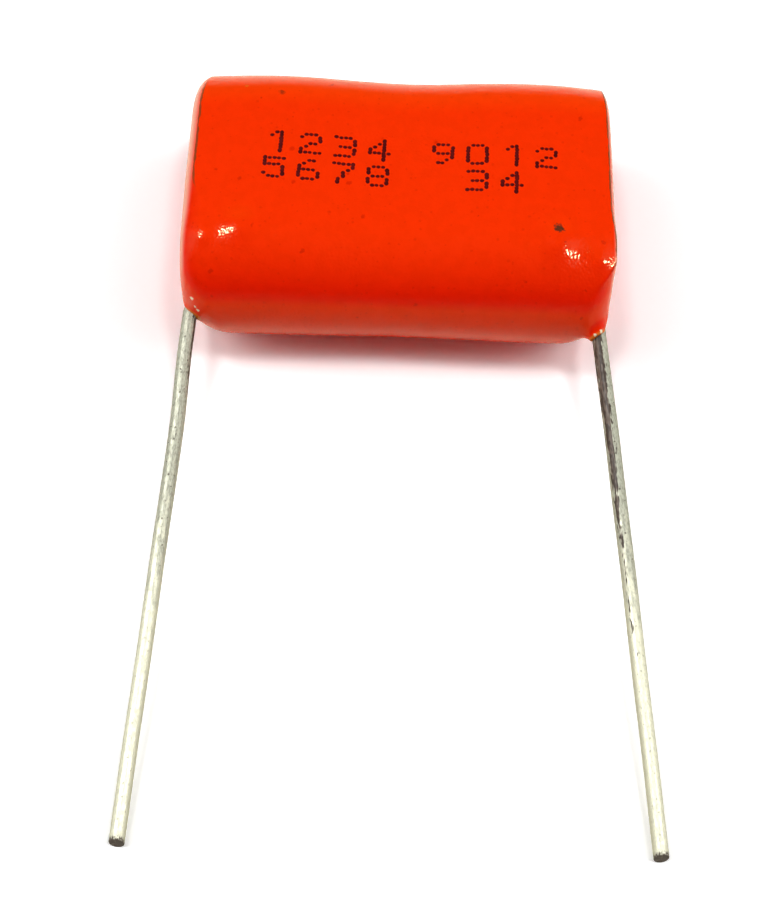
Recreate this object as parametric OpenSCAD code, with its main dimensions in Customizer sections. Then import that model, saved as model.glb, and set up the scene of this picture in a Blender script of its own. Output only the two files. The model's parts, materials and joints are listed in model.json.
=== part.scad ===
// Radial film capacitor with a dipped epoxy coat, lying on a broad face.
// +X runs from the left lead to the right lead, the leads point towards -Y, and Z = 0 is the surface it lies on.
// The origin is the centre of the flat underside.

/* [Body] */
// Height of the coated body, from the lead edge to the far edge
body_h = 15.9; // [13:0.1:22]
// Thickness of the coated body, from broad face to broad face
body_t = 8.55; // [6.5:0.05:11]
// Rounding of the upper face and the far edge where they turn onto the two ends
far_edge_r = 1.3; // [0.8:0.05:2.2]
// Slope at which the coat breaks over that edge before its rounding begins
edge_break_deg = 45; // [0:1:60]
// Rounding of the lead edge where it turns onto the two ends
near_edge_r = 2.5; // [1.5:0.05:2.7]
// Depth of the hollow that the coat leaves at mid width on the upper face
coat_sag = 0.3; // [0:0.05:0.5]
// Fall of the coat's upper face from its shoulders to the two ends
edge_fall = 0.3; // [0:0.05:0.4]
// Distance from each end of the body to its shoulder, where the coat is highest
shoulder_in = 5; // [3.5:0.1:8]

/* [Coat] */
// Epoxy over the broad faces and round edges of the winding
coat_wall = 1; // [0.9:0.05:1.3]
// Epoxy over the lead wire at each end
lead_cover = 0.3; // [0.2:0.05:0.6]
// Length of the left lead past its bend that the coat is drawn along
left_run = 1.2; // [0.8:0.05:2.4]
// Length of the right lead past its bend that the coat is drawn along
right_run = 2.1; // [0.8:0.05:2.4]
// Share of that length which the coat keeps as it sets
meniscus_grip = 0.6; // [0.3:0.05:0.9]
// Distance in which the drawn coat falls away from a lead
meniscus_fade = 0.4; // [0.3:0.05:0.7]

/* [Winding] */
// Thickness of the metal sprayed on each end of the winding
contact_t = 0.6; // [0.3:0.05:1]
// How far the winding sits off the middle of its coat
winding_off = -0.05; // [-0.1:0.05:0.1]
// Depth to which a lead is welded into the sprayed metal
weld_depth = 0.1; // [0.05:0.05:0.2]

/* [Leads] */
// Diameter of the lead wire
lead_d = 0.8; // [0.6:0.05:1]
// Distance between the two leads inside the body
lead_pitch = 22.5; // [17.5:0.5:27.5]
// Length of each lead from its bend to its tip
lead_l = 29.4; // [20:0.1:35]
// Distance from the front of the body back to the bend
bend_in = 1.5; // [1.2:0.1:2]
// Angle by which the left lead spreads outwards
left_splay_deg = 3.8; // [0:0.1:8]
// Angle by which the right lead spreads outwards
right_splay_deg = 5.6; // [0:0.1:8]
// Thickness of the flattened end of each lead, which is welded on
tab_t = 0.45; // [0.35:0.05:0.55]
// Length of the flattened end, from the bend
tab_l = 9; // [5:0.5:11]
// Length over which the round wire tapers to its flattened end
taper_l = 0.7; // [0.4:0.1:1]
// How much thinner the wire stays next to that taper, where the flattening stretched it
neck_thin = 0.03; // [0.01:0.01:0.1]
// Length from the bend over which the wire regains its full diameter
neck_l = 2; // [1.8:0.1:3]

/* [Fineness] */
// Segments of each round edge of the coat, from face to face
round_steps = 28; // [12:4:40]
// Stations of the coat round each end
edge_steps = 12; // [6:1:16]
// Stations of the coat between the two ends
span_steps = 16; // [8:2:24]

/* [Hidden] */
$fn = 64;

LEFT = -1;
RIGHT = 1;

mid_z = body_t / 2;
lead_r = lead_d / 2;

// Width of the coated body, over the leads and their cover
body_w = lead_pitch + lead_d + 2 * lead_cover;

// Half the straight stretch of the racetrack section
straight_y = (body_h - body_t) / 2;

// Racetrack section of the winding, inside the coat
winding_h = body_h - 2 * coat_wall;
winding_t = body_t - 2 * coat_wall;

// Outer face of the sprayed metal, and the end of the film behind it
contact_x = lead_pitch / 2 - tab_t / 2 + weld_depth;
film_x = contact_x - contact_t;

// Width of the flattened end: flattening keeps the cross-section of the wire
tab_w = PI * lead_r * lead_r / tab_t;

// Where a lead bends, and the angle at which it drops from there to touch the surface with its tip
corner_y = bend_in - body_h / 2;
droop = asin(mid_z / norm([lead_l, lead_r])) - atan2(lead_r, lead_l);

// Where the wider edge rounding starts, and where the shoulders stand, both measured from mid width
widest_r = max(far_edge_r, near_edge_r);
round_x = body_w / 2 - widest_r;
shoulder_x = body_w / 2 - shoulder_in;

// How strongly the angles of a round edge crowd towards its middle, where a lead leaves the coat
crowding = 1.7;

// Section angle at which the lead edge has its full rounding, a little below the leads
full_round_a = 215;

// Middle of a lead across the body, the angle by which it spreads, and where the coat drawn along it would end
function lead_x(side) = winding_off + side * lead_pitch / 2;
function splay(side) = side == LEFT ? left_splay_deg : right_splay_deg;
function run_y(side) = corner_y - (side == LEFT ? left_run : right_run);

// Share of the lead edge's own rounding at section angle a: all of it just below the leads, none on the upper face
function near_share(a) = pow(max(0, cos(a - full_round_a)), 2);

// Inset of the skin at station x, where it turns onto an end, for a section normal at angle a from +Y:
// an arc that starts at the break's slope and ends square to the end
function edge_inset(x, a) =
    let (
        r = far_edge_r + (near_edge_r - far_edge_r) * near_share(a),
        start = edge_break_deg * (1 - near_share(a)),
        past = max(0, abs(x) - body_w / 2 + r * (1 - sin(start))),
        s = sin(start) + past / r
    )
    past > 0 ? r * (cos(start) - sqrt(max(0, 1 - s * s))) : 0;

// Depth of the upper face below its shoulders at station x: a half wave between them, then a slow fall to the end
function dip(x) =
    abs(x) < shoulder_x
        ? coat_sag * pow(cos(90 * x / shoulder_x), 2)
        : edge_fall * pow((abs(x) - shoulder_x) / shoulder_in, 2);

// Share by which the skin is drawn forward: greatest at a lead, dying away with the distance from its wire
function draw(x, z, side) =
    meniscus_grip * exp(-max(0, norm([x - lead_x(side), z - mid_z]) - lead_r) / meniscus_fade);

// Point of the skin at station x where the section's normal makes angle a with +Y, on the far (1) or near (-1) round.
// The dip is deepest on the upper face and leaves the underside flat.
function skin(x, a, end) =
    let (
        side = x < 0 ? LEFT : RIGHT,
        r = mid_z - edge_inset(x, a) - dip(x) * (1 + sin(a)) / 2,
        y = end * straight_y + r * cos(a),
        z = mid_z + r * sin(a),
        drawn = max(0, -cos(a)) * draw(x, z, side) * min(0, run_y(side) - y)
    )
    [x, y + drawn, z];

// Angles of one round edge, from its lower to its upper face, crowded at the middle
function round_angles() = [
    for (i = [0:round_steps])
        let (t = 2 * i / round_steps - 1)
        90 * sign(t) * pow(abs(t), crowding)
];

// One closed ring of the skin at station x
function ring(x) = concat(
    [for (a = round_angles()) skin(x, a, 1)],
    [for (a = round_angles()) skin(x, 180 + a, -1)]
);

// Stations from the left end to the right end, close together round the edges
function stations() = concat(
    [for (i = [0:edge_steps - 1]) -round_x - widest_r * cos(90 * i / edge_steps)],
    [for (i = [0:span_steps]) round_x * (2 * i / span_steps - 1)],
    [for (i = [1:edge_steps]) round_x + widest_r * sin(90 * i / edge_steps)]
);

// Closed skin over rings of n points each
module loft(rings) {
    n = len(rings[0]);
    last = len(rings) - 1;
    quads = [
        for (s = [0:last - 1], i = [0:n - 1])
            let (j = (i + 1) % n)
            [s * n + i, (s + 1) * n + i, (s + 1) * n + j, s * n + j]
    ];
    polyhedron(
        points = [for (r = rings) each r],
        faces = concat(
            [for (q = quads) each [[q[0], q[1], q[2]], [q[0], q[2], q[3]]]],
            [[for (i = [0:n - 1]) i]],
            [[for (i = [0:n - 1]) last * n + n - 1 - i]]
        ),
        convexity = 4
    );
}

// Bar with the winding's racetrack section, from x0 to x1 along the winding
module racetrack_bar(x0, x1) {
    translate([winding_off + x0, 0, mid_z])
        rotate([90, 0, 90])
            linear_extrude(x1 - x0) {
                square([winding_h - winding_t, winding_t], center = true);
                for (end = [-1, 1])
                    translate([end * (winding_h - winding_t) / 2, 0])
                        circle(d = winding_t);
            }
}

// Lead: a flattened end along the sprayed metal, then round wire from the bend to a tip that rests on the surface
module wire(side) {
    translate([lead_x(side), corner_y, mid_z]) {
        translate([-tab_t / 2, -taper_l / 2, -tab_w / 2])
            cube([tab_t, tab_l + taper_l / 2, tab_w]);
        rotate([90 + droop, 0, side * splay(side)])
            rotate_extrude()
                polygon([
                    [0, 0],
                    [tab_t / 3, 0],
                    [lead_r - neck_thin / 2, taper_l],
                    [lead_r, neck_l],
                    [lead_r, lead_l],
                    [0, lead_l]
                ]);
    }
}

// Metal sprayed on one end of the winding, with the groove that the welded lead leaves in it
module contact(side) {
    difference() {
        racetrack_bar(side == LEFT ? -contact_x : film_x, side == LEFT ? -film_x : contact_x);
        wire(side);
    }
}

module epoxy_coat() {
    color([0.98, 0.2, 0.01])
        difference() {
            loft([for (x = stations()) ring(x)]);
            racetrack_bar(-contact_x, contact_x);
            wire(LEFT);
            wire(RIGHT);
        }
}

module film_winding() {
    color([0.85, 0.86, 0.84])
        racetrack_bar(-film_x, film_x);
}

module left_contact() {
    color([0.62, 0.62, 0.6])
        contact(LEFT);
}

module right_contact() {
    color([0.62, 0.62, 0.6])
        contact(RIGHT);
}

module left_lead() {
    color([0.78, 0.79, 0.74])
        wire(LEFT);
}

module right_lead() {
    color([0.78, 0.79, 0.74])
        wire(RIGHT);
}

epoxy_coat();
film_winding();
left_contact();
right_contact();
left_lead();
right_lead();
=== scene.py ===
"""Looks of a dipped film capacitor: a glossy epoxy coat, printed counting digits and two tinned wire leads.

The file is laid out as an add-on and run as a script. Sizes are in metres, in the frame of the packed model:
X runs from the left lead to the right lead, the leads point towards -Y, and Z = 0 is the surface it lies on.
"""

import json
import math

import bpy
import numpy as np
from mathutils import Matrix, Vector


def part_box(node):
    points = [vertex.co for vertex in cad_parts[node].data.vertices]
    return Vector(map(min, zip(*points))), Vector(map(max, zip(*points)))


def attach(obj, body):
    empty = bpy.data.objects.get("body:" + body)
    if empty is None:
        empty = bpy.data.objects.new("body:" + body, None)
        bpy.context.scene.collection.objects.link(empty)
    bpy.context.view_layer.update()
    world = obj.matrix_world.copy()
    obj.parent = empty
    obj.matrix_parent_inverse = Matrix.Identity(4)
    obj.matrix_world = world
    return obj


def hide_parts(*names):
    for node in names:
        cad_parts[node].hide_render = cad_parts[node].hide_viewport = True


bl_info = {
    "name": "Dipped Film Capacitor",
    "version": (1, 0, 0),
    "blender": (4, 5, 0),
    "location": "View3D > Sidebar > Capacitor",
    "description": "Builds the coat, marking, leads and studio of a dipped film capacitor",
    "category": "Object",
}

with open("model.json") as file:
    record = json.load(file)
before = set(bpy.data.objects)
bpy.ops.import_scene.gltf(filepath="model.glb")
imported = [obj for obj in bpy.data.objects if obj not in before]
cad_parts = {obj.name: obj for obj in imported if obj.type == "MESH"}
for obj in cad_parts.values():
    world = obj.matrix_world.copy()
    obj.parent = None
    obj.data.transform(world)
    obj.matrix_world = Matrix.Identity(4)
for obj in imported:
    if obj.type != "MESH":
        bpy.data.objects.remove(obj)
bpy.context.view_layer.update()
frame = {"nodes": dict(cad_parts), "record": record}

MM = 0.001
LEFT, RIGHT = -1, 1
MOUNTS = {mount["name"]: mount for mount in frame["record"]["mounts"]}
COAT_LOW, COAT_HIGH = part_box("epoxy_coat")

# Dot patterns of the counting digits, seven rows of five columns each
DIGITS = {
    "0": "01110 10001 10001 10001 10001 10001 01110",
    "1": "00110 01010 00010 00010 00010 00010 00010",
    "2": "01110 10001 00001 00110 01000 10000 11111",
    "3": "11110 00001 00001 01110 00001 00001 11110",
    "4": "00010 00110 01010 10010 11111 00010 00010",
    "5": "11111 10000 11110 00001 00001 10001 01110",
    "6": "00110 01000 10000 11110 10001 10001 01110",
    "7": "11111 00001 00010 00100 00100 01000 01000",
    "8": "01110 10001 10001 01110 10001 10001 01110",
    "9": "01110 10001 10001 01111 00001 00010 01100",
}

# Painted glints: pale spots in the coat's colour where it ends on the leads, standing in for glints: place
# and radius, in millimetres
PAINTED_GLINTS = (
    (-11.2, -7.26, 5.75, 0.14),
    (-11.06, -7.49, 5.26, 0.09),
    (-10.91, -7.6, 5.08, 0.12),
    (11.03, -8.1, 4.65, 0.13),
    (11.36, -7.86, 4.69, 0.13),
)

# Larger spots in the epoxy, by name: middle and radius in millimetres, and softness of the outline
SPOTS = {
    "burnt": ((8.55, -3.81, 8.5), 0.33, 0.4),
    "smear": ((-6.83, 4.65, 8.44), 0.22, 0.6),
    "pale": ((-8.85, 5.13, 8.25), 0.14, 0.6),
}

# Round swellings along the front shoulder: x, y and reach in millimetres, and share of the full height
SWELLS = (
    (-8.62, -4.26, 0.56, 1.0),
    (-10.5, -4.72, 0.36, 0.5),
    (8.62, -4.6, 0.58, 1.0),
    (10.88, -5.3, 0.36, 0.55),
)

# Fineness of the coat: stations round each end's edge and between the ends, and rings that close an end
EDGE_STATIONS, SPAN_STATIONS, CAP_RINGS = 64, 221, 21
# Points of each round edge and flat face of its section, and how they crowd to the middle of an edge
ROUND_POINTS, FLAT_POINTS, CROWDING = 89, 19, 1.6
# Section angle at which the lead edge has its full rounding, a little below the leads
FULL_ROUND = math.radians(215)

# Fineness of a lead: rings near the bend and along the free wire, and points of its section
NEAR_RINGS, FREE_RINGS, WIRE_POINTS = 60, 330, 64
# Rings that close the cut tip: share of the wire's radius, and millimetres past the cut
TIP_RINGS = ((0.97, 0.03), (0.9, 0.05), (0.6, 0.05), (0.3, 0.05), (0.0, 0.05))

# Ways from the body to the lamps. Keys light surfaces only. Glints, with their watts, show in gloss only.
KEYS = {"left_key": (-0.25, 0.06, 0.97), "right_key": (0.25, -0.04, 0.97)}
GLINTS = {"left_glint": ((-0.502, 0.035, 0.864), 4.5), "right_glint": ((0.558, -0.305, 0.769), 3.0)}

# Seeds of the random draws: waves of the coat, ink dots, lines along the wires and waves of the wires
COAT_SEED, DOT_SEED, LINE_SEED, WIRE_SEED = 4, 7, 11, 20

# Fineness of an ink dot: rings, as shares of its radius, and points of each ring
DOT_RINGS, DOT_POINTS = (0.0, 0.55, 0.85, 1.0, 1.03), 14

# Groups of digits: the digits, where the first one stands in digit steps, and the line
GROUPS = (("1234", 0.0, 0), ("5678", 0.0, 1), ("9012", 4.85, 0), ("34", 5.87, 1))


def length(name, description, default):
    """A size property in metres."""
    return bpy.props.FloatProperty(
        name=name, description=description, default=default, precision=5, subtype="DISTANCE", unit="LENGTH"
    )


def colour(name, description, default):
    """A colour property, in linear light."""
    return bpy.props.FloatVectorProperty(
        name=name, description=description, default=default, size=3, min=0, max=1, subtype="COLOR"
    )


def angle(name, description, degrees):
    """An angle property."""
    return bpy.props.FloatProperty(
        name=name, description=description, default=math.radians(degrees), subtype="ANGLE", unit="ROTATION"
    )


def point(name, description, default):
    """A place property in metres."""
    return bpy.props.FloatVectorProperty(
        name=name,
        description=description,
        default=default,
        size=len(default),
        precision=5,
        subtype="XYZ",
        unit="LENGTH",
    )


def share(name, description, default):
    """A plain number property."""
    return bpy.props.FloatProperty(name=name, description=description, default=default, precision=3)


class CoatSettings(bpy.types.PropertyGroup):
    """Sizes and colours of the dipped epoxy coat"""

    width: length("Width", "From end to end across both leads", COAT_HIGH.x - COAT_LOW.x)
    height: length("Height", "From the lead edge to the far edge", 2 * COAT_HIGH.y)
    thickness: length("Thickness", "From broad face to broad face", COAT_HIGH.z - COAT_LOW.z)
    far_edge: length("Far edge radius", "Rounding onto the ends, above and far from the leads", 1.3 * MM)
    left_break: angle("Left break", "Slope at which the coat breaks over the left end's edge", 32)
    right_break: angle("Right break", "Slope at which the coat breaks over the right end's edge", 48)
    near_edge: length("Lead edge radius", "Rounding onto the ends along the lead edge", 2.5 * MM)
    trim: length("Trim", "How much shorter the coat is at the right end", 0.13 * MM)
    sag: length("Sag", "Depth of the hollow at mid width on the upper face", 0.3 * MM)
    fall: length("Fall", "Fall of the upper face from its shoulders to the ends", 0.3 * MM)
    shoulder: length("Shoulder", "Distance from each end to its shoulder", 5 * MM)
    left_run: length("Left run", "Length that the coat is drawn along the left lead", 1.2 * MM)
    right_run: length("Right run", "Length that the coat is drawn along the right lead", 2.1 * MM)
    grip: share("Grip", "Share of the drawn length that the coat keeps as it sets", 0.6)
    fade: length("Fade", "Distance in which the drawn coat falls away from a lead", 0.4 * MM)
    swell: length("Swell", "Height of the full swellings along the front shoulder", 0.19 * MM)
    ripple: length("Ripple", "Depth of the slow unevenness left by dipping", 0.015 * MM)
    bulge: length("Bulge", "How far the middle of each end stands out", 0.06 * MM)
    # The fringe widths set where the painted sheen shows: a pale colour standing in for the reflection along
    # each end's upper edge.
    left_fringe: length("Left fringe", "Width of thin epoxy over the left end's edge", 0.66 * MM)
    right_fringe: length("Right fringe", "Width of thin epoxy over the right end's edge", 0.3 * MM)
    orange: colour("Orange", "Epoxy where it faces up", (0.97, 0.0315, 0.0004))
    # Painted shade: deeper red where the coat turns down the front and sides.
    painted_shade_red: colour("Deep red", "Epoxy where it turns down the sides", (0.9, 0.0085, 0.0003))
    # Painted reflection and bounce of the bright floor: a more orange tone below the widest part.
    painted_floor_bounce: colour("Low orange", "Epoxy below the widest part", (0.94, 0.028, 0.0006))
    # Painted back light: a paler orange where the coat turns down the far edge.
    painted_back_light: colour("Far orange", "Epoxy where it turns down the far edge", (1.0, 0.06, 0.0005))
    speck: colour("Speck", "Small dark grains in the epoxy", (0.55, 0.009, 0.0004))
    brown: colour("Brown", "Burnt grains and smears", (0.055, 0.02, 0.007))
    # Painted sheen: pale colour on the ends' upper edges, standing in for their reflection.
    thin: colour("Thin", "Pale epoxy, drawn thin over the ends' edges", (0.98, 0.4, 0.28))
    rim: colour("Rim", "Ragged line where the coat breaks over the ends", (0.2, 0.055, 0.014))
    # Painted glints: pale spots beside the leads.
    painted_glint: colour("Glass", "Pale glassy specks beside the leads", (1.0, 0.86, 0.6))
    amber: colour("Amber", "Thin epoxy that clings to the leads", (0.8, 0.16, 0.012))


class LeadSettings(bpy.types.PropertyGroup):
    """Sizes and colours of the two lead wires"""

    diameter: length("Diameter", "Diameter of the wire", 2 * MOUNTS["left_lead_wire"]["dims"]["r_mm"] * MM)
    neck: length("Neck", "Length from the bend to where the free wire begins", 2 * MM)
    tab: length("Tab", "Length of the flattened end inside the coat", 9 * MM)
    tab_thick: length("Tab thickness", "Thickness of the flattened end", 0.45 * MM)
    bevel: length("Bevel", "Length of the slanted cut at the tip", 0.4 * MM)
    grain: length("Grain", "Depth of the lines left by drawing the wire", 0.006 * MM)
    # Plating colours along each wire: paler towards the tips, darker towards the coat.
    tin: colour("Tin", "Clean tin plating, towards the tips", (0.74, 0.73, 0.57))
    near_coat_tin: colour("Dull tin", "Weathered plating, towards the coat", (0.45, 0.455, 0.36))
    shade: colour("Shade", "Dark mottling of the plating", (0.2, 0.2, 0.16))
    # Painted shade: darker plating on the sides and underside of the wire.
    painted_side_shade: colour("Flank", "Plating on the sides of the wire", (0.36, 0.34, 0.22))
    stain: colour("Stain", "Brown film next to the coat", (0.04, 0.02, 0.012))
    pale_stain: colour("Pale stain", "Thinner streaks in that film", (0.13, 0.088, 0.064))
    cut: colour("Cut", "Bare core at the cut tips", (0.09, 0.07, 0.055))


class InsideSettings(bpy.types.PropertyGroup):
    """Colours of the winding and the sprayed metal"""

    film: colour("Film", "Metallised film", (0.66, 0.67, 0.65))
    film_edge: colour("Film edge", "Edges of its turns", (0.5, 0.51, 0.49))
    film_shade: colour("Film shade", "Mottling of the film", (0.4, 0.4, 0.38))
    spray: colour("Spray", "Sprayed metal", (0.4, 0.4, 0.39))
    spray_dark: colour("Dark spray", "Mottling of the sprayed metal", (0.3, 0.3, 0.29))
    pore: colour("Pore", "Pores in the sprayed metal", (0.12, 0.12, 0.115))


class MarkingSettings(bpy.types.PropertyGroup):
    """Sizes and colour of the printed digits"""

    corner: point("Corner", "Upper left dot of the first digit, on the upper face", (-7.42 * MM, 1.86 * MM))
    slant: angle("Slant", "Turn of the lines against the body", -1.9)
    step: length("Step", "Distance from digit to digit", 1.9 * MM)
    line: length("Line", "Distance from line to line", 1.72 * MM)
    column: length("Column", "Distance between the dots of a row", 0.257 * MM)
    row: length("Row", "Distance between the dots of a column", 0.2 * MM)
    dot: length("Dot", "Diameter of one ink dot", 0.265 * MM)
    relief: length("Relief", "Height of a dried ink dot", 0.006 * MM)
    ink: colour("Ink", "Dried marking ink", (0.065, 0.0008, 0.0006))


class StudioSettings(bpy.types.PropertyGroup):
    """Camera, lamps and floor"""

    tilt: angle("Tilt", "Height of the camera above the horizon", 67.3784)
    swing: angle("Swing", "Turn of the camera round the body", -0.9034)
    roll: angle("Roll", "Turn of the camera about its line of sight", 2.7416)
    distance: length("Distance", "From the camera to the point that it looks at", 71.5717 * MM)
    aim: point("Aim", "Point that the camera looks at", (-0.4096 * MM, -13.7388 * MM, 0))
    lens: bpy.props.FloatProperty(
        name="Lens", description="Focal length for a sensor 36 mm wide", default=49.8, unit="CAMERA"
    )
    floor: length("Floor", "Half the side of the floor", 3.0)
    drop: length("Drop", "How far the floor lies below the part", 0.005 * MM)
    lamp_aim: point("Lamp aim", "Point that the lamps look at", (0, -3 * MM, 4 * MM))
    lamp_distance: length("Lamp distance", "From that point to each lamp", 0.5)
    key_size: length("Key size", "Side of each key lamp", 0.07)
    key_watts: share("Key watts", "Power of each key lamp", 0.5)
    glint_size: length("Glint size", "Side of each glint lamp", 0.045)
    lift: share("Lift", "Share by which the floor is paler to the camera", 0.6)
    pale: colour("Pale", "Floor and surroundings", (0.8, 0.8, 0.8))
    warm: colour("Warm pale", "Paper as it shows in the gloss, a little warmer", (0.8, 0.77, 0.6))


SETTINGS = {
    "capacitor_coat": CoatSettings,
    "capacitor_leads": LeadSettings,
    "capacitor_insides": InsideSettings,
    "capacitor_marking": MarkingSettings,
    "capacitor_studio": StudioSettings,
}


def grid_triangles(rows, columns, closed):
    """Corner indices of two triangles for each cell of a grid, whose last column may join its first."""
    index = np.arange(rows * columns).reshape(rows, columns)
    side = np.roll(index, -1, axis=1) if closed else index[:, 1:]
    index = index if closed else index[:, :-1]
    a, b, c, d = index[:-1], index[1:], side[1:], side[:-1]
    return np.concatenate([np.stack([a, b, c], -1).reshape(-1, 3), np.stack([a, c, d], -1).reshape(-1, 3)])


def place_object(name, data):
    """New object in the scene."""
    made = bpy.data.objects.new(name, data)
    bpy.context.scene.collection.objects.link(made)
    return made


def make_piece(name, points, triangles, material, values=None):
    """Puts points and triangles into a smooth mesh object: equal points become one, and empty faces go."""
    keys = np.round(points / (1e-6 * MM)).astype(np.int64)
    _, first, which = np.unique(keys, axis=0, return_index=True, return_inverse=True)
    triangles = which.reshape(-1)[triangles]
    a, b, c = triangles.T
    triangles = triangles[(a != b) & (b != c) & (c != a)]
    mesh = bpy.data.meshes.new(name)
    mesh.from_pydata(points[first].tolist(), [], triangles.tolist())
    for key, value in (values or {}).items():
        kind, field = ("FLOAT", "value") if value.ndim == 1 else ("FLOAT_VECTOR", "vector")
        layer = mesh.attributes.new(key, kind, "POINT")
        layer.data.foreach_set(field, value[first].astype(np.float32).ravel())
    mesh.polygons.foreach_set("use_smooth", np.ones(len(triangles), bool))
    mesh.materials.append(material)
    mesh.update()
    if mesh.validate():
        raise RuntimeError(f"{name} has faces that can't be kept")
    return place_object(name, mesh)


def make_tube(name, points, material, values):
    """Piece from a grid whose columns run round a section, with the values of its points by name."""
    triangles = grid_triangles(*points.shape[:2], True)[:, ::-1]
    values = {key: value.reshape(-1, *value.shape[2:]) for key, value in values.items()}
    return make_piece(name, points.reshape(-1, 3), triangles, material, values)


def normals_of(points):
    """Outward unit normals of a grid whose columns run round a section: cross products of its tangents."""
    wide = np.concatenate([points[:, -1:], points, points[:, :1]], axis=1)
    around = np.gradient(wide, axis=1)[:, 1:-1]
    along = np.gradient(points, axis=0)
    normal = np.cross(around, along)
    size = np.linalg.norm(normal, axis=-1, keepdims=True)
    return normal / np.maximum(size, 1e-18)


def slow_waves(points, spacing, count, seed):
    """Sum of plane waves of about the given spacing, with seeded directions, between about -1 and 1."""
    draw = np.random.default_rng(seed)
    direction = draw.normal(size=(count, 3))
    direction /= np.linalg.norm(direction, axis=1, keepdims=True)
    rate = 2 * math.pi / (spacing * draw.uniform(0.7, 1.6, count))
    phase = draw.uniform(0, 2 * math.pi, count)
    return np.sin((points @ direction.T) * rate + phase).sum(-1) / math.sqrt(2 * count)


def smooth_step(value):
    """Smooth climb from 0 to 1 while the value goes from 0 to 1."""
    held = np.clip(value, 0, 1)
    return held**2 * (3 - 2 * held)


def ramp(value, low, high):
    """Smooth climb from 0 to 1 while a length goes from low to high, both in millimetres."""
    return smooth_step((value / MM - low) / (high - low))


def lead_axis(side):
    """Bend of a lead, direction of its free wire and length to its tip, from the record's pin mounts."""
    mount = MOUNTS["left_lead_wire" if side == LEFT else "right_lead_wire"]
    axis = np.array(mount["axis"]) / np.linalg.norm(mount["axis"])
    neck = bpy.context.scene.capacitor_leads.neck
    free = mount["dims"]["length_mm"] * MM
    return np.array(mount["pos_m"]) - axis * (free / 2 + neck), axis, neck + free


def coat_dip(coat, x):
    """Depth of the upper face below its shoulders: a squared half wave between, a slow fall past them."""
    inner = coat.width / 2 - coat.shoulder
    out = np.abs(x) / inner
    hollow = coat.sag * np.cos(np.pi / 2 * np.minimum(out, 1)) ** 2
    return np.where(out < 1, hollow, coat.fall * ((np.abs(x) - inner) / coat.shoulder) ** 2)


def coat_relief(coat, points):
    """Height that the skin stands off its plain form: slow waves, and round swellings along the shoulder."""
    x, y, z = np.moveaxis(points, -1, 0)
    up = coat.swell * np.clip((z - 0.5 * coat.thickness) / (0.2 * coat.thickness), 0, 1)
    height = coat.ripple * slow_waves(points, 5 * MM, 9, COAT_SEED)
    for across, along, reach, part in SWELLS:
        away = np.hypot(x - across * MM, y - along * MM) / (reach * MM)
        height = height + part * up * np.exp(-(away**2) / 2)
    return height


def coat_stations(half, widest):
    """Stations from end to end, close together round the edges, and how far each closes its end."""
    edge = half - widest + widest * np.sin(np.linspace(0, math.pi / 2, EDGE_STATIONS))
    middle = np.linspace(widest - half, half - widest, SPAN_STATIONS)[1:-1]
    last = np.full(CAP_RINGS, half)
    close = np.linspace(0, 1, CAP_RINGS + 1)[1:]
    x = np.concatenate([-last, -edge[::-1], middle, edge, last])
    cap = np.concatenate([close[::-1], np.zeros(len(x) - 2 * CAP_RINGS), close])
    return x[:, None], cap[:, None]


def section_angles():
    """Section angles round the racetrack, and each point's place from the far (1) to the near (-1) round."""
    spread = np.linspace(-1, 1, ROUND_POINTS)
    quarter = math.pi / 2 * np.sign(spread) * np.abs(spread) ** CROWDING
    face = np.full(FLAT_POINTS, math.pi / 2)
    flat = np.linspace(1, -1, FLAT_POINTS + 2)[1:-1]
    turn = np.concatenate([quarter, face, math.pi + quarter, math.pi + face])
    return turn, np.concatenate([np.ones(ROUND_POINTS), flat, -np.ones(ROUND_POINTS), -flat])


def drawn_coat(coat, x, y, z, front):
    """How far the skin is drawn forward along the leads, and how thinly it clings to them there.

    Both die away with the distance from a wire, as exponentials, and the drawn rim leans inwards a little.
    """
    drawn, cling = np.zeros_like(y), np.zeros_like(y)
    radius = bpy.context.scene.capacitor_leads.diameter / 2
    for side, run in ((LEFT, coat.left_run), (RIGHT, coat.right_run)):
        bend = lead_axis(side)[0]
        across = x - bend[0]
        lean = 0.3 * np.clip(-side * across, -0.4 * MM, 0.4 * MM)
        away = np.maximum(np.hypot(across, z - bend[2]) - radius, 0)
        here = front * (np.sign(x) == side)
        drawn += here * coat.grip * np.exp(-away / coat.fade) * np.minimum(bend[1] - run - lean - y, 0)
        cling += here * np.exp(-away / (0.16 * MM))
    return drawn, cling


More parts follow.
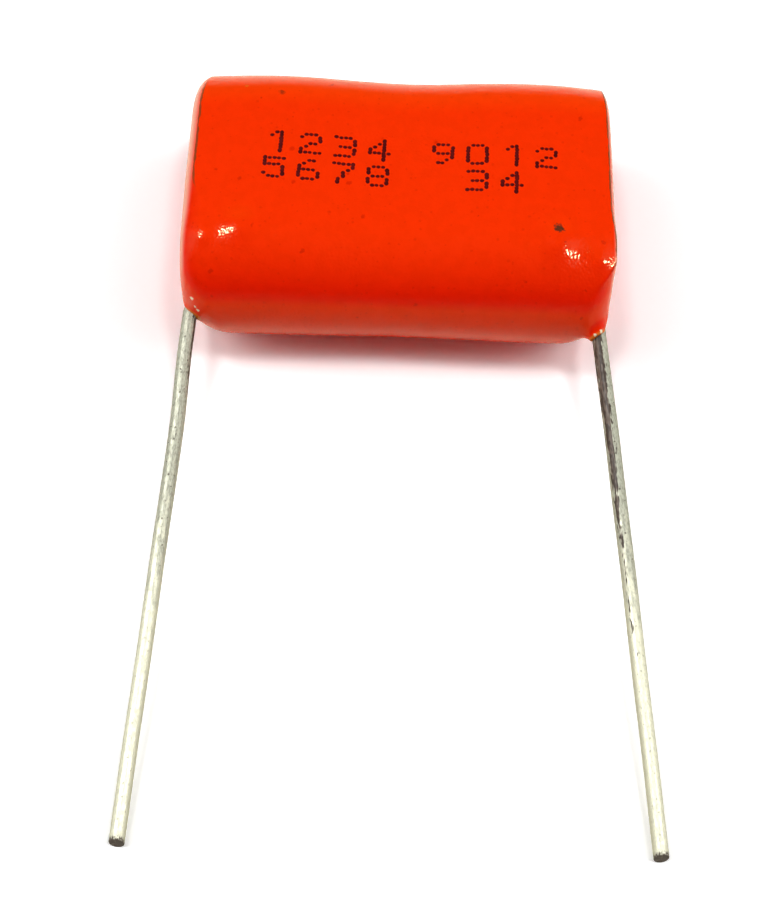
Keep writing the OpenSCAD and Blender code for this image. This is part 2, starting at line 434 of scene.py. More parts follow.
def coat_skin(coat):
    """Skin of the coat over station x and section angle.

    The section is a racetrack whose radius shrinks by the dip on its upper side and, at each end, by an arc
    that starts with a break over the edge and ends square to the end. Low on the lead edge the arc is wider
    and smooth. Where a lead leaves it, the skin is drawn forward. Past the last station the section closes
    onto its own middle line, so each end is a shallow cap.
    Returns the grid of points and, by name, their normals (facing), which also set the epoxy's painted shade
    and light, how thinly the coat clings to a lead (cling), how far it lies past the break in millimetres
    (rim), how firm the break is (firm) and how strongly the painted sheen, a pale colour standing in for the
    reflection along the end's upper edge, shows there (fringe).
    """
    half, mid = coat.width / 2, coat.thickness / 2
    straight = (coat.height - coat.thickness) / 2
    station, cap = coat_stations(half, max(coat.far_edge, coat.near_edge))
    turn, end = section_angles()
    cos, sin = np.cos(turn), np.sin(turn)
    plain = end * straight + mid * cos
    left = station < 0

    # The break fades out towards the leads. The right one is harder over the front shoulder.
    low = np.maximum(np.cos(turn - FULL_ROUND), 0) ** 2
    corner = coat.far_edge + (coat.near_edge - coat.far_edge) * low
    soft = ramp(plain, -3.4, -0.8) * (0.3 + 0.7 * np.clip(sin, 0, 1) ** 2)
    firm = np.where(left, soft, ramp(plain, -7.35, -5.25))
    hard = coat.right_break * (1 + 0.38 * ramp(-plain, 2, 4.5))
    start = np.where(left, coat.left_break, hard) * firm * (1 - low)
    past = np.abs(station) - half + corner * (1 - np.sin(start))
    lean = np.clip(np.sin(start) + past / corner, 0, 1)
    inset = np.where(past > 0, corner * (np.cos(start) - np.sqrt(1 - lean**2)), 0)

    radius = (mid - inset - coat_dip(coat, station) * (1 + sin) / 2) * (1 - cap)
    y = end * straight + radius * cos
    z = mid + radius * sin
    x = np.where(left, station, station * (1 - coat.trim / half))
    x = np.broadcast_to(x + np.sign(x) * coat.bulge * smooth_step(cap), y.shape)
    drawn, cling = drawn_coat(coat, x, y, z, np.maximum(-cos, 0) * (1 - cap) ** 2)
    points = np.stack([x, y + drawn, z], -1)
    points = points + normals_of(points) * (coat_relief(coat, points) * (1 - cling))[..., None]
    points[..., 2] = np.maximum(points[..., 2], 0)

    # The brown line and the painted sheen, a pale colour standing in for the reflection on the ends' edges,
    # keep to the upper edges.
    # On the left the painted sheen narrows towards the lead.
    upper = smooth_step(1.6 * sin - 0.1) * (1 - ramp(cap * mid, 0, 0.5))
    narrow = 1 - 0.318 * (1 - ramp(plain, -5, -1.5))
    wide = np.where(left, coat.left_fringe * narrow, coat.right_fringe)
    fringe = smooth_step((np.abs(station) - half + wide) / (0.75 * wide))
    fringe = fringe * upper * np.where(left, ramp(plain, -8.2, -5.8), 0.75)
    firm = np.where(past < 0.8 * MM, smooth_step(2.5 * firm - 1.5) * upper, 0)
    facing = normals_of(points)
    return points, {"facing": facing, "cling": cling, "rim": past / MM, "firm": firm, "fringe": fringe}


def wire_surface(leads, side):
    """Skin of one lead: a section carried along a path.

    The path runs along the flattened end, turns through a short smooth bend and follows the free wire to its
    tip. The section is a superellipse that goes from a flat bar to a circle, with shallow lines along it.
    The tip is cut on a slant, and its last rings close onto the middle of the cut.
    Returns the grid of points and, by name, their place across and along the wire in millimetres
    (wire_place), the share of bare cut (bare) and the share of brown film (stain).
    """
    bend, axis, reach = lead_axis(side)
    inner = np.array([0.0, -1.0, 0.0])
    back = -np.arange(leads.tab, 0.6 * MM, -0.3 * MM)
    near = np.linspace(-0.6 * MM, 2.6 * MM, NEAR_RINGS)
    s = np.concatenate([back, near, np.linspace(2.6 * MM, reach, FREE_RINGS)[1:]])
    turned = ramp(s, -0.5, 0.5)[:, None]
    tangent = inner * (1 - turned) + axis * turned
    tangent /= np.linalg.norm(tangent, axis=1, keepdims=True)
    path = bend + inner * np.minimum(s, 0)[:, None] + axis * np.maximum(s, 0)[:, None]
    bow = 0.02 * MM * np.sin(3 * math.pi * np.clip(s / reach, 0, 1)) ** 2
    path[:, 0] += side * bow + 0.06 * MM * ramp(s, 3, 8)
    if side == LEFT:
        path[:, 0] -= 0.12 * MM * ramp(s, 0, 0.9) * (1 - ramp(s, 1.2, 7.7))

    radius = leads.diameter / 2
    flat = ramp(-s, -0.9, 0.2)[:, None]
    tab_half = math.pi * radius**2 / leads.tab_thick / 2
    thin_half = radius + (leads.tab_thick / 2 - radius) * flat
    wide_half = radius + (tab_half - radius) * flat
    power = 2 / (2 + 4 * flat)

    theta = np.linspace(0, 2 * math.pi, WIRE_POINTS, endpoint=False)
    cos, sin = np.cos(theta), np.sin(theta)
    draw = np.random.default_rng(LINE_SEED + side)
    waves = np.arange(3, 15)
    phase = draw.uniform(0, 6.28, len(waves))
    lines = np.sin(waves * theta[:, None] + phase) @ draw.normal(size=len(waves)) / 3
    slow = slow_waves(np.stack([0 * s, 0 * s, s], -1), 6 * MM, 5, WIRE_SEED + side)
    skin = 1 + leads.grain / radius * lines * (0.6 + 0.4 * slow)[:, None]

    out_x = np.sign(cos) * np.abs(cos) ** power * thin_half * skin
    out_z = np.sign(sin) * np.abs(sin) ** power * wide_half * skin
    across = np.cross(np.array([0.0, 0.0, 1.0]), tangent)
    across /= np.linalg.norm(across, axis=1, keepdims=True)
    above = np.cross(tangent, across)
    tip = np.clip((s - reach) / (2 * MM) + 1, 0, 1)[:, None] ** 2
    body = path[:, None] + across[:, None] * out_x[..., None] + above[:, None] * out_z[..., None]
    body = body - tangent[:, None] * (tip * leads.bevel * (1 + sin) / 2)[..., None]

    shrink, stand = np.array(TIP_RINGS).T[..., None]
    slope = stand * MM - leads.bevel * (1 + sin * shrink) / 2
    face = path[-1] + across[-1] * (out_x[-1] * shrink)[..., None]
    face = face + above[-1] * (out_z[-1] * shrink)[..., None] + tangent[-1] * slope[..., None]
    close = path[:1, None] + (body[:1] - path[:1, None]) * np.array([0.0, 0.9])[:, None, None]
    points = np.concatenate([close, body, face])

    place = np.concatenate([np.full(2, s[0]), s, np.full(len(TIP_RINGS), reach)])[:, None] + 0 * theta
    local = np.stack([radius * cos + 0 * place, radius * sin + 0 * place, place], -1) / MM
    burr = 0.6 * ramp(s - reach, -0.55, 0.05)
    bare = np.concatenate([np.zeros(2), burr, [0.8, 1, 1, 1, 1]])[:, None] + 0 * theta
    if side == RIGHT:
        wide = np.clip(1.1 - place / (18 * MM), 0.35, 0.85)
        stain = np.clip(1.15 - np.abs(cos + 0.52) / wide, 0, 1) * np.clip(1.4 - place / (16 * MM), 0, 1)
    else:
        stain = np.clip(1.9 * cos - 0.95, 0, 1) * np.clip(1.1 - place / (9 * MM), 0, 1)
    return points, {"wire_place": local, "bare": bare, "stain": stain}


def marking_dots(marking, coat):
    """Domed ink dots on the upper face: for each dot of each digit, a disc over radius share and angle.

    A dot's height falls with the square of its radius and ends just under the skin. Dots with a neighbour
    above or below are longer, so that they run together.
    """
    spots = []
    for text, start, line in GROUPS:
        for place, digit in enumerate(text):
            rows = np.array([[int(c) for c in row] for row in DIGITS[digit].split()])
            row, column = np.nonzero(rows)
            padded = np.pad(rows, ((1, 1), (0, 0)))
            joined = padded[row, column] + padded[row + 2, column] > 0
            tall = np.where(joined, 1.2, 0.85)
            across = (start + place) * marking.step + column * marking.column
            spots.append(np.stack([across, -line * marking.line - row * marking.row, tall], -1))
    spots = np.concatenate(spots)
    tall = spots[:, 2, None]
    draw = np.random.default_rng(DOT_SEED)
    jitter = draw.normal(size=(len(spots), 2)) * 0.012 * MM
    size = marking.dot / 2 * draw.uniform(0.92, 1.08, len(spots))
    cos, sin = math.cos(marking.slant), math.sin(marking.slant)
    turn = np.array([[cos, sin], [-sin, cos]])
    centre = (spots[:, :2] + jitter) @ turn + np.array(marking.corner)

    ring = np.array(DOT_RINGS)
    theta = np.linspace(0, 2 * math.pi, DOT_POINTS, endpoint=False)
    disc = np.stack([np.cos(theta) + 0 * tall, np.sin(theta) * tall], -1)[:, None]
    flat = centre[:, None, None] + size[:, None, None, None] * ring[:, None, None] * disc
    rise = marking.relief * (1 - ring**2) - 0.002 * MM * ring**8
    untrimmed = np.where(flat[..., 0] > 0, flat[..., 0] / (1 - 2 * coat.trim / coat.width), flat[..., 0])
    base = coat.thickness - coat_dip(coat, untrimmed)
    points = np.concatenate([flat, base[..., None]], -1)
    points[..., 2] += coat_relief(coat, points) + rise[:, None]
    cells = grid_triangles(len(ring), len(theta), True)[:, ::-1]
    offset = np.arange(len(centre))[:, None, None] * (len(ring) * len(theta))
    return points.reshape(-1, 3), (cells + offset).reshape(-1, 3)


def node(tree, kind, settings=None, **inputs):
    """Adds one shader node. Settings are its own properties; inputs are values or sockets, by input name."""
    made = tree.nodes.new(kind)
    made.location = (180 * (len(tree.nodes) % 12), -220 * (len(tree.nodes) // 12))
    for key, value in (settings or {}).items():
        setattr(made, key, value)
    dress(tree, made, **inputs)
    return made


def feed(tree, socket, value):
    """Links a socket to an input, or sets a plain value on it."""
    if isinstance(value, bpy.types.NodeSocket):
        tree.links.new(value, socket)
    elif isinstance(socket, bpy.types.NodeSocketColor):
        socket.default_value = (*value[:3], 1)
    else:
        socket.default_value = value


def maths(tree, operation, *values, clamp=False):
    """Output of a Math node."""
    made = node(tree, "ShaderNodeMath", {"operation": operation, "use_clamp": clamp})
    for socket, value in zip(made.inputs, values):
        feed(tree, socket, value)
    return made.outputs[0]


def vectors(tree, operation, *values):
    """Vector Math node."""
    made = node(tree, "ShaderNodeVectorMath", {"operation": operation})
    for socket, value in zip(made.inputs, values):
        feed(tree, socket, value)
    return made


def blend(tree, factor, below, above, mode="MIX"):
    """Colour between two others."""
    made = node(tree, "ShaderNodeMix", {"data_type": "RGBA", "blend_type": mode})
    for place, value in ((0, factor), (6, below), (7, above)):
        feed(tree, made.inputs[place], value)
    return made.outputs[2]


def span(tree, value, low, high, to_low=0.0, to_high=1.0, smooth=True):
    """Value carried from one range to another, held at both ends."""
    kind = {"interpolation_type": "SMOOTHSTEP" if smooth else "LINEAR"}
    made = node(tree, "ShaderNodeMapRange", kind, Value=value, From_Min=low, From_Max=high)
    dress(tree, made, To_Min=to_low, To_Max=to_high)
    return made.outputs[0]


def times(tree, first, second):
    """Product of two values."""
    return maths(tree, "MULTIPLY", first, second)


def grow(tree, value, factor, base, clamp=False):
    """Product of a value and a factor, added to a base."""
    return maths(tree, "MULTIPLY_ADD", value, factor, base, clamp=clamp)


def less(tree, first, second):
    """Difference of two values."""
    return maths(tree, "SUBTRACT", first, second)


def noise(tree, place, scale, detail=2.0):
    """Value of a noise about 0.5."""
    return node(tree, "ShaderNodeTexNoise", Vector=place, Scale=scale, Detail=detail).outputs[0]


def attribute(tree, name, output="Fac"):
    """One of the mesh's own attributes."""
    return node(tree, "ShaderNodeAttribute", {"attribute_name": name}).outputs[output]


def object_place(tree):
    """Object coordinates."""
    return node(tree, "ShaderNodeTexCoord").outputs["Object"]


def dress(tree, target, **inputs):
    """Feeds a node's inputs by name."""
    for key, value in inputs.items():
        feed(tree, target.inputs[key.replace("_", " ")], value)


def new_group(name, inputs, outputs):
    """Shader group with inputs by name and first value, None for a vector, and outputs by name.

    Returns the group, what comes in and where its results go.
    """
    tree = bpy.data.node_groups.new(name, "ShaderNodeTree")
    for label, value in inputs.items():
        kind = "NodeSocketVector" if value is None else "NodeSocketFloat"
        made = tree.interface.new_socket(label, in_out="INPUT", socket_type=kind)
        if value is not None:
            made.default_value = value
    for label in outputs:
        tree.interface.new_socket(label, in_out="OUTPUT", socket_type="NodeSocketFloat")
    return tree, tree.nodes.new("NodeGroupInput").outputs, tree.nodes.new("NodeGroupOutput").inputs


def group_node(tree, name, **inputs):
    """Places a shader group in a material, with its own values."""
    return node(tree, "ShaderNodeGroup", {"node_tree": bpy.data.node_groups[name]}, **inputs).outputs


def grain_group():
    """Uneven skin: a coarse and a fine noise, mixed, and a mottling of the coarse one alone."""
    inputs = {"Vector": None, "Coarse": 1000.0, "Fine": 6000.0, "Share": 0.5}
    tree, given, out = new_group("Uneven skin", inputs, ("Height", "Mottle"))
    coarse = noise(tree, given["Vector"], given["Coarse"])
    fine = noise(tree, given["Vector"], given["Fine"], 0.0)
    mixed = node(tree, "ShaderNodeMix", {"data_type": "FLOAT"})
    for place, value in ((0, given["Share"]), (2, coarse), (3, fine)):
        feed(tree, mixed.inputs[place], value)
    tree.links.new(mixed.outputs[0], out["Height"])
    tree.links.new(span(tree, coarse, 0.3, 0.7), out["Mottle"])


def speck_group():
    """Scattered grains: cells of which a share holds a round grain of its own size."""
    inputs = {"Vector": None, "Cells": 1000.0, "Share": 0.3, "Size": 0.2}
    tree, given, out = new_group("Scattered grains", inputs, ("Mask",))
    fine = times(tree, given["Cells"], 2.5)
    warp = node(tree, "ShaderNodeTexNoise", Vector=given["Vector"], Scale=fine)
    off = vectors(tree, "SCALE", warp.outputs["Color"])
    dress(tree, off, Scale=maths(tree, "DIVIDE", 0.35, given["Cells"]))
    place = vectors(tree, "ADD", given["Vector"], off.outputs[0]).outputs[0]
    cells = node(tree, "ShaderNodeTexVoronoi", Vector=place, Scale=given["Cells"])
    chance = node(tree, "ShaderNodeSeparateColor", Color=cells.outputs["Color"]).outputs
    held = maths(tree, "LESS_THAN", chance["Red"], given["Share"])
    own = times(tree, given["Size"], maths(tree, "ADD", 0.4, chance["Green"]))
    inside = maths(tree, "SUBTRACT", 1, maths(tree, "DIVIDE", cells.outputs["Distance"], own), clamp=True)
    tree.links.new(times(tree, held, span(tree, inside, 0.0, 0.5)), out["Mask"])


def spot_group():
    """One ragged spot: the distance from its middle, roughened by noise, within a radius."""
    inputs = {"Vector": None, "Middle": None, "Radius": 0.3 * MM, "Soft": 0.3}
    tree, given, out = new_group("Ragged spot", inputs, ("Mask",))
    far = vectors(tree, "DISTANCE", given["Vector"], given["Middle"]).outputs["Value"]
    rough = less(tree, noise(tree, given["Vector"], 7000.0), 0.5)
    ragged = grow(tree, rough, 1.4, maths(tree, "DIVIDE", far, given["Radius"]))
    mask = maths(tree, "DIVIDE", less(tree, 1, ragged), given["Soft"], clamp=True)
    tree.links.new(mask, out["Mask"])


def new_material(name):
    """Material with one Principled BSDF. Returns the material, its tree and that shader."""
    material = bpy.data.materials.new(name)
    material.use_nodes = True
    return material, material.node_tree, material.node_tree.nodes["Principled BSDF"]


def bump(tree, height, strength, distance):
    """Normal from a height, in metres of relief."""
    return node(tree, "ShaderNodeBump", Strength=strength, Distance=distance, Height=height).outputs[0]


def grain(tree, place, coarse, fine, share):
    """Height and mottling of an uneven skin."""
    return group_node(tree, "Uneven skin", Vector=place, Coarse=coarse, Fine=fine, Share=share)


def specks(tree, place, cells, share, size):
    """Mask of scattered grains."""
    return group_node(tree, "Scattered grains", Vector=place, Cells=cells, Share=share, Size=size)["Mask"]


def spot(tree, place, middle, radius, soft):
    """Mask of one ragged spot, whose middle and radius are in millimetres."""
    where = {"Middle": [value * MM for value in middle], "Radius": radius * MM}
    return group_node(tree, "Ragged spot", Vector=place, Soft=soft, **where)["Mask"]


def epoxy_material(coat):
    """Glossy filled epoxy: orange above, with painted shade (deeper red) down the front and sides, a painted
    floor reflection below the widest part, painted back light on the far edge, a painted sheen on the ends'
    edges, painted glints by the leads, grains, spots and a fine peel.
    """
    material, tree, shader = new_material("orange_epoxy_gloss")
    place = object_place(tree)
    skin = grain(tree, place, 1500.0, 7500.0, 0.85)
    grains = specks(tree, place, 1000.0, 0.4, 0.14)
    dust = specks(tree, place, 3600.0, 0.3, 0.3)
    burnt, smear, pale = (spot(tree, place, *SPOTS[name]) for name in ("burnt", "smear", "pale"))

    # Painted light by the way the coat faces: deeper red where it turns down is painted shade, the more
    # orange band below the widest part is a painted floor reflection, and the coat goes back to orange where
    # it faces away.
    facing = node(tree, "ShaderNodeSeparateXYZ", Vector=attribute(tree, "facing", "Vector")).outputs
    tone = blend(tree, span(tree, facing["Z"], 0.52, 0.98, smooth=False), coat.painted_shade_red, coat.orange)
    tone = blend(tree, span(tree, facing["Z"], 0.36, 0.5, 1.0, 0.0), tone, coat.painted_floor_bounce)
    tone = blend(tree, span(tree, facing["Y"], 0.0, 0.3), tone, coat.orange)
    # Painted back light: paler orange where the coat turns down the far edge.
    edge = span(tree, facing["Y"], 0.0, 0.55, smooth=False)
    edge = times(tree, edge, span(tree, facing["Y"], 0.66, 0.96, 1.0, 0.0))
    tone = blend(tree, edge, tone, coat.painted_back_light)
    shade = span(tree, skin["Mottle"], 0, 1, 0.965, 1.0)
    shade = node(tree, "ShaderNodeCombineColor", Red=shade, Green=shade, Blue=shade).outputs[0]
    tone = blend(tree, 1.0, tone, shade, "MULTIPLY")
    for mask, strength, above in (
        (grains, 0.5, coat.speck),
        (dust, 0.2, coat.speck),
        (smear, 0.6, coat.brown),
        (pale, 0.7, coat.amber),
        (burnt, 0.93, coat.brown),
        # Painted sheen: pale colour on the ends' upper edges, standing in for their reflection.
        (attribute(tree, "fringe"), 0.92, coat.thin),
    ):
        tone = blend(tree, times(tree, mask, strength), tone, above)

    wander = less(tree, noise(tree, place, 2600.0, 3.0), 0.5)
    ragged = grow(tree, wander, 0.12, less(tree, attribute(tree, "rim"), 0.01))
    thick = span(tree, noise(tree, place, 1100.0), 0.3, 0.5, 0.015, 0.065)
    line = maths(tree, "LESS_THAN", maths(tree, "ABSOLUTE", ragged), thick)
    tone = blend(tree, times(tree, line, times(tree, attribute(tree, "firm"), 0.85)), tone, coat.rim)
    tone = blend(tree, span(tree, attribute(tree, "cling"), 0.45, 0.9), tone, coat.amber)
    # Painted glints: pale spots beside the leads.
    for *middle, radius in PAINTED_GLINTS:
        tone = blend(tree, spot(tree, place, middle, radius, 0.5), tone, coat.painted_glint)

    rough = grow(tree, burnt, 0.4, span(tree, skin["Mottle"], 0, 1, 0.12, 0.17))
    height = less(tree, less(tree, skin["Height"], times(tree, grains, 0.06)), times(tree, burnt, 0.8))
    dress(tree, shader, Base_Color=tone, Roughness=rough, Normal=bump(tree, height, 0.9, 0.019 * MM))
    dress(tree, shader, IOR=1.5, Specular_IOR_Level=0.14, Specular_Tint=(1.0, 0.92, 0.5))
    return material


def ink_material(marking):
    """Dried ink: dark maroon with a mottled, half matt skin."""
    material, tree, shader = new_material("dried_ink")
    place = object_place(tree)
    skin = grain(tree, place, 2500.0, 9000.0, 0.5)
    thin = tuple(1.8 * value for value in marking.ink)
    dress(tree, shader, Base_Color=blend(tree, skin["Mottle"], marking.ink, thin))
    dress(tree, shader, Roughness=span(tree, skin["Mottle"], 0, 1, 0.5, 0.6), Specular_IOR_Level=0.05)
    dress(tree, shader, Normal=bump(tree, skin["Height"], 0.4, 0.008 * MM))
    return material


def wire_material(leads):
    """Drawn wire with tin that is darker towards the coat: lines along it, pits, painted shade on its sides,
    a brown film next to the coat and a bare cut tip.
    """
    material, tree, shader = new_material("tinned_wire_dull")
    local = attribute(tree, "wire_place", "Vector")
    stretched = node(tree, "ShaderNodeMapping", Vector=local, Scale=(1.0, 1.0, 0.3)).outputs[0]
    drawn = node(tree, "ShaderNodeMapping", Vector=local, Scale=(1.0, 1.0, 0.1)).outputs[0]
    lines = grain(tree, stretched, 4.0, 12.0, 0.5)
    skin = grain(tree, local, 2.5, 8.0, 0.6)
    streaks = grain(tree, drawn, 5.0, 14.0, 0.5)
    pits = specks(tree, local, 4.0, 0.35, 0.25)
    fine = noise(tree, stretched, 16.0)
    uneven = less(tree, fine, 0.5)
    where = node(tree, "ShaderNodeSeparateXYZ", Vector=local).outputs

    # Plating goes from darker near the coat to paler towards the tip.
    towards_tip = grow(tree, less(tree, lines["Mottle"], 0.5), 5.0, where["Z"])
    towards_tip = span(tree, towards_tip, 10.0, 20.0)
    tone = blend(tree, towards_tip, leads.near_coat_tin, leads.tin)
    speckle = times(tree, span(tree, fine, 0.42, 0.62), span(tree, towards_tip, 0, 1, 0.6, 0.25))
    tone = blend(tree, speckle, tone, leads.shade)
    tone = blend(tree, times(tree, pits, span(tree, towards_tip, 0, 1, 0.75, 0.35)), tone, leads.stain)
    # Painted shade: the sides and underside of the wire are darkened.
    painted_side_shade = grow(tree, uneven, 0.25, where["Y"])
    painted_side_shade = times(tree, span(tree, painted_side_shade, 0.1, 0.32, 1.0, 0.0), span(tree, towards_tip, 0, 1, 0.3, 0.55))
    tone = blend(tree, painted_side_shade, tone, leads.painted_side_shade)

    ragged = maths(tree, "ADD", less(tree, streaks["Height"], 0.5), less(tree, lines["Height"], 0.5))
    film = span(tree, grow(tree, ragged, 1.3, attribute(tree, "stain")), 0.36, 0.6)
    brown = blend(tree, span(tree, ragged, -0.08, 0.1), leads.pale_stain, leads.stain)
    tone = blend(tree, times(tree, film, 0.95), tone, brown)
    worn = grow(tree, uneven, 2.4, 1.0)
    bare = span(tree, times(tree, attribute(tree, "bare"), worn), 0.15, 0.7)
    tone = blend(tree, bare, tone, leads.cut)

    rough = span(tree, skin["Mottle"], 0, 1, 0.48, 0.62)
    rough = grow(tree, bare, 0.25, rough, clamp=True)
    metal = times(tree, span(tree, film, 0, 1, 1.0, 0.1), span(tree, towards_tip, 0, 1, 0.25, 0.28))
    height = grow(tree, lines["Height"], 0.7, times(tree, skin["Height"], 0.5))
    height = less(tree, height, times(tree, pits, 0.4))
    dress(tree, shader, Base_Color=tone, Roughness=rough, Metallic=metal, Specular_IOR_Level=0.2)
    dress(tree, shader, Normal=bump(tree, height, 0.7, 0.03 * MM))
    return material


def film_material(insides):
    """Wound metallised film: silver-grey, with fine bands that follow the turns of the roll."""
    material, tree, shader = new_material("wound_film")
    place = object_place(tree)
    skin = grain(tree, place, 900.0, 4000.0, 0.4)
    bands = {"bands_direction": "X"}
    turns = node(tree, "ShaderNodeTexWave", bands, Vector=place, Scale=900.0, Distortion=0.6)
    tone = blend(tree, turns.outputs["Fac"], insides.film_edge, insides.film)
    tone = blend(tree, times(tree, skin["Mottle"], 0.2), tone, insides.film_shade)
    dress(tree, shader, Base_Color=tone, Roughness=span(tree, skin["Mottle"], 0, 1, 0.22, 0.34))
    dress(tree, shader, Normal=bump(tree, skin["Height"], 0.2, 0.01 * MM))
    return material


def spray_material(insides):
    """Sprayed metal: rough grey with dark pores."""
    material, tree, shader = new_material("sprayed_metal_rough")
    place = object_place(tree)
    skin = grain(tree, place, 2500.0, 9000.0, 0.5)
    pores = specks(tree, place, 3500.0, 0.5, 0.35)
    tone = blend(tree, skin["Mottle"], insides.spray_dark, insides.spray)
    tone = blend(tree, times(tree, pores, 0.6), tone, insides.pore)
    dress(tree, shader, Base_Color=tone, Roughness=span(tree, skin["Mottle"], 0, 1, 0.5, 0.7), Metallic=0.85)
    dress(tree, shader, Normal=bump(tree, less(tree, skin["Height"], pores), 0.6, 0.02 * MM))
    return material


def floor_material(studio):
    """Pale paper: diffuse, and paler for rays that see it directly."""
    material = bpy.data.materials.new("pale_floor")
    material.use_nodes = True
    tree = material.node_tree
    tree.nodes.clear()
    skin = grain(tree, object_place(tree), 40.0, 900.0, 0.5)
    tone = blend(tree, skin["Mottle"], tuple(0.985 * v for v in studio.pale), studio.pale)
    path = node(tree, "ShaderNodeLightPath").outputs
    tone = blend(tree, path["Is Glossy Ray"], tone, studio.warm)
    seen = maths(tree, "ADD", path["Is Glossy Ray"], path["Is Transmission Ray"])
    seen = maths(tree, "ADD", path["Is Camera Ray"], seen)
    bright = vectors(tree, "SCALE", tone)
    dress(tree, bright, Scale=grow(tree, seen, studio.lift, 1.0))
    paper = node(tree, "ShaderNodeBsdfDiffuse", Color=bright.outputs[0])
    node(tree, "ShaderNodeOutputMaterial", Surface=paper.outputs[0])
    return material


def soft_lamp(studio, name, direction, size, watts):
    """Square soft box that looks at the body from a direction."""
    lamp = bpy.data.lights.new(name, "AREA")
    lamp.shape = "SQUARE"
    lamp.size = size
    lamp.energy = watts
    made = place_object(name, lamp)
    away = Vector(direction).normalized()
    made.location = Vector(studio.lamp_aim) + away * studio.lamp_distance
    made.rotation_mode = "QUATERNION"
    made.rotation_quaternion = away.to_track_quat("Z", "Y")
    return made


def surroundings(studio):
    """World: a pale strip at the horizon in front, and a soft bright panel overhead on either side."""
    world = bpy.data.worlds.new("surroundings")
    bpy.context.scene.world = world
    world.use_nodes = True
    tree = world.node_tree
    tree.nodes.clear()
    way = node(tree, "ShaderNodeTexCoord").outputs["Generated"]
    way = node(tree, "ShaderNodeSeparateXYZ", Vector=way).outputs
    path = node(tree, "ShaderNodeLightPath").outputs
    panels = span(tree, way["Z"], 0.05, 0.2, 0.0, 4.1)
    for mask in (
        span(tree, maths(tree, "ABSOLUTE", way["X"]), 0.3, 0.55),
        span(tree, way["Y"], -0.26, -0.08),
        span(tree, way["Y"], 0.22, 0.42, 1.0, 0.0),
        grow(tree, path["Is Glossy Ray"], -0.6, 1.0),
    ):
        panels = times(tree, panels, mask)
    strip = times(tree, span(tree, way["Z"], 0.06, 0.1, 0.85, 0.0), span(tree, way["Y"], 0.1, 0.5, 1.0, 0.1))
    level = maths(tree, "ADD", maths(tree, "ADD", strip, 0.05), panels)
    level = grow(tree, path["Is Camera Ray"], 1.3, level)
    tone = blend(tree, path["Is Glossy Ray"], studio.pale, studio.warm)
    back = node(tree, "ShaderNodeBackground", Color=tone, Strength=level)
    node(tree, "ShaderNodeOutputWorld", Surface=back.outputs[0])


def place_camera(studio):
    """Camera turned by tilt, swing and roll, at a distance from the point that it looks at."""
    camera = place_object("camera", bpy.data.cameras.new("camera"))
    camera.data.sensor_width = 36
    camera.data.lens = studio.lens
    camera.data.clip_start, camera.data.clip_end = 1 * MM, 20
    flat = math.cos(studio.tilt)
    back = Vector((math.sin(studio.swing) * flat, -math.cos(studio.swing) * flat, math.sin(studio.tilt)))
    right = Vector((math.cos(studio.swing), math.sin(studio.swing), 0))
    up = back.cross(right)
    turned = right * math.cos(studio.roll) + up * math.sin(studio.roll)
    upright = up * math.cos(studio.roll) - right * math.sin(studio.roll)
    camera.matrix_world = Matrix.LocRotScale(
        Vector(studio.aim) + back * studio.distance, Matrix((turned, upright, back)).transposed(), None
    )
    bpy.context.scene.camera = camera


class CAPACITOR_OT_groups(bpy.types.Operator):
    """Build the shader groups that the finishes share"""

    bl_idname = "capacitor.groups"
    bl_label = "Shared Finishes"

    def execute(self, context):
        grain_group()
        speck_group()
        spot_group()
        return {"FINISHED"}


class CAPACITOR_OT_coat(bpy.types.Operator):
    """Build the dipped epoxy coat"""

    bl_idname = "capacitor.coat"
    bl_label = "Epoxy Coat"

    def execute(self, context):
        coat = context.scene.capacitor_coat
        points, values = coat_skin(coat)
        piece = make_tube("coat_skin", points, epoxy_material(coat), values)
        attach(piece, "root")
        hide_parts("epoxy_coat")
        return {"FINISHED"}


class CAPACITOR_OT_leads(bpy.types.Operator):
    """Build the two lead wires"""

    bl_idname = "capacitor.leads"
    bl_label = "Lead Wires"

    def execute(self, context):
        leads = context.scene.capacitor_leads
        material = wire_material(leads)
        for side, name in ((LEFT, "left"), (RIGHT, "right")):
            points, values = wire_surface(leads, side)
            piece = make_tube(f"{name}_wire", points, material, values)
            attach(piece, "root")
            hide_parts(f"{name}_lead")
        return {"FINISHED"}


class CAPACITOR_OT_marking(bpy.types.Operator):
    """Print the counting digits on the upper face"""

    bl_idname = "capacitor.marking"
    bl_label = "Printed Digits"

    def execute(self, context):
        marking = context.scene.capacitor_marking
        points, triangles = marking_dots(marking, context.scene.capacitor_coat)
        piece = make_piece("marking_dots", points, triangles, ink_material(marking))
        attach(piece, "root")
        return {"FINISHED"}


class CAPACITOR_OT_insides(bpy.types.Operator):
    """Finish the winding and the sprayed metal inside the coat"""

    bl_idname = "capacitor.insides"
    bl_label = "Winding and Contacts"

    def execute(self, context):
        insides = context.scene.capacitor_insides
        film, spray = film_material(insides), spray_material(insides)
        for name, material in (("film_winding", film), ("left_contact", spray), ("right_contact", spray)):
            mesh = frame["nodes"][name].data
            mesh.materials.clear()
            mesh.materials.append(material)
        return {"FINISHED"}


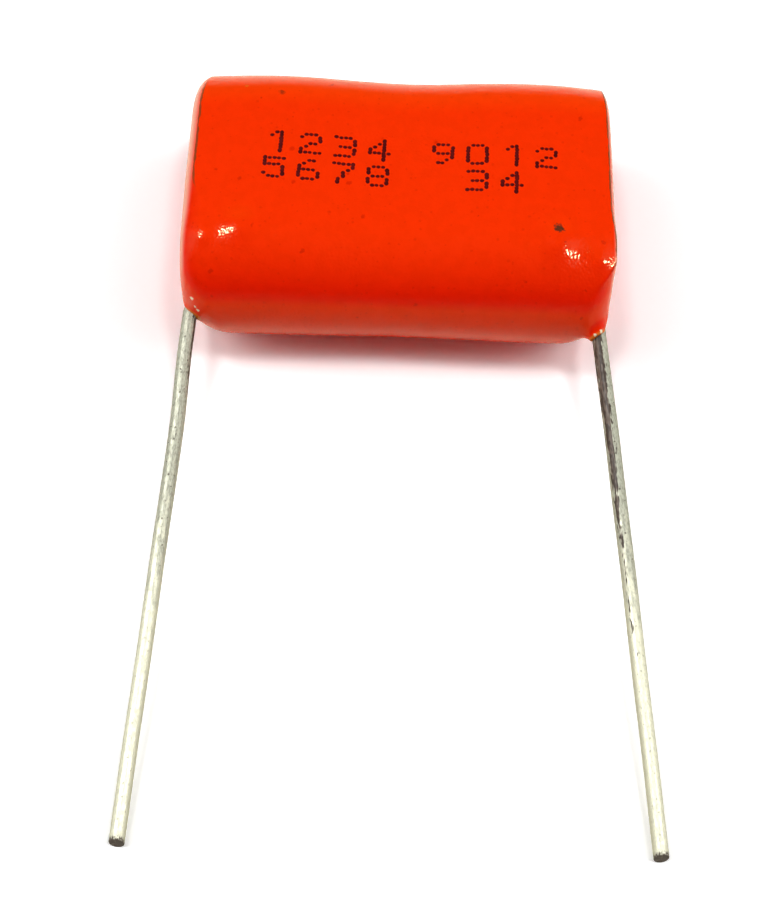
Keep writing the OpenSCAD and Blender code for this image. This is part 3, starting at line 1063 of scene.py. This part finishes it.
class CAPACITOR_OT_stage(bpy.types.Operator):
    """Set up the floor, lamps, surroundings and camera"""

    bl_idname = "capacitor.stage"
    bl_label = "Studio"

    def execute(self, context):
        studio = context.scene.capacitor_studio
        across = np.linspace(-studio.floor, studio.floor, 9)
        x, y = np.meshgrid(across, across, indexing="ij")
        points = np.stack([x, y, 0 * x - studio.drop], -1).reshape(-1, 3)
        triangles = grid_triangles(len(across), len(across), False)
        floor = make_piece("floor", points, triangles, floor_material(studio))
        for name, direction in KEYS.items():
            key = soft_lamp(studio, name, direction, studio.key_size, studio.key_watts)
            key.visible_glossy = False
        for name, (direction, watts) in GLINTS.items():
            glint = soft_lamp(studio, name, direction, studio.glint_size, watts)
            glint.visible_diffuse = False
        surroundings(studio)
        place_camera(studio)
        context.scene.view_settings.view_transform = "Standard"
        return {"FINISHED"}


OPERATORS = (
    CAPACITOR_OT_groups,
    CAPACITOR_OT_coat,
    CAPACITOR_OT_leads,
    CAPACITOR_OT_marking,
    CAPACITOR_OT_insides,
    CAPACITOR_OT_stage,
)


class CAPACITOR_PT_panel(bpy.types.Panel):
    """Steps and sizes of the capacitor"""

    bl_idname = "CAPACITOR_PT_panel"
    bl_label = "Capacitor"
    bl_space_type = "VIEW_3D"
    bl_region_type = "UI"
    bl_category = "Capacitor"

    def draw(self, context):
        for operator in OPERATORS:
            self.layout.operator(operator.bl_idname)
        for name, settings in SETTINGS.items():
            box = self.layout.box()
            box.label(text=settings.__doc__)
            for key in settings.__annotations__:
                box.prop(getattr(context.scene, name), key)


CLASSES = (*SETTINGS.values(), *OPERATORS, CAPACITOR_PT_panel)


def register():
    """Registers the classes and hangs the settings on the scene."""
    for each in CLASSES:
        bpy.utils.register_class(each)
    for name, settings in SETTINGS.items():
        setattr(bpy.types.Scene, name, bpy.props.PointerProperty(type=settings))


def unregister():
    """Takes the settings off the scene and the classes out of Blender."""
    for name in SETTINGS:
        delattr(bpy.types.Scene, name)
    for each in reversed(CLASSES):
        bpy.utils.unregister_class(each)


def main():
    register()
    bpy.ops.capacitor.groups()
    bpy.ops.capacitor.coat()
    bpy.ops.capacitor.leads()
    bpy.ops.capacitor.marking()
    bpy.ops.capacitor.insides()
    bpy.ops.capacitor.stage()
    bpy.context.view_layer.update()


if __name__ == "__main__":
    main()
